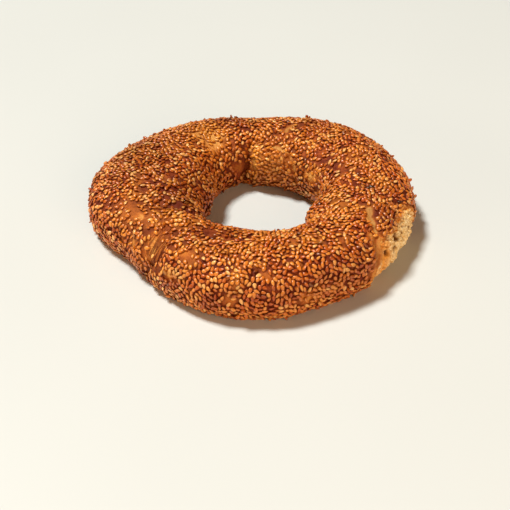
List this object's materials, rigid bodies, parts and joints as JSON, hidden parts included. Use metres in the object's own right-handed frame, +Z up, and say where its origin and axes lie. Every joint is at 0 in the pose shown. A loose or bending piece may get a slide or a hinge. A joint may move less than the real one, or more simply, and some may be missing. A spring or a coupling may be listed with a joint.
{
  "type": "simit",
  "caption": "Ring of baked bread rolled from one fat rope of dough, flat underneath, crusted with toasted sesame, with a torn patch of pale crumb on one side.",
  "frame": {"origin": "centre of the bounding box's bottom face, on the surface that the ring lies on", "axes": "+Z up through the ring's hole; +X along the ring's longest width, with the torn side to the right and towards -Y"},
  "size_m": [0.1784, 0.1616, 0.033],
  "materials": {
    "crust": "red-brown baked crust with a soft gloss, paler where the dough stretched",
    "sesame": "toasted sesame seeds, golden brown with a few darker ones",
    "crumb": "torn, dull, cream-coloured bread crumb"
  },
  "bodies": {
    "root": {"bread_ring": "crust"}
  },
  "joints": []
}
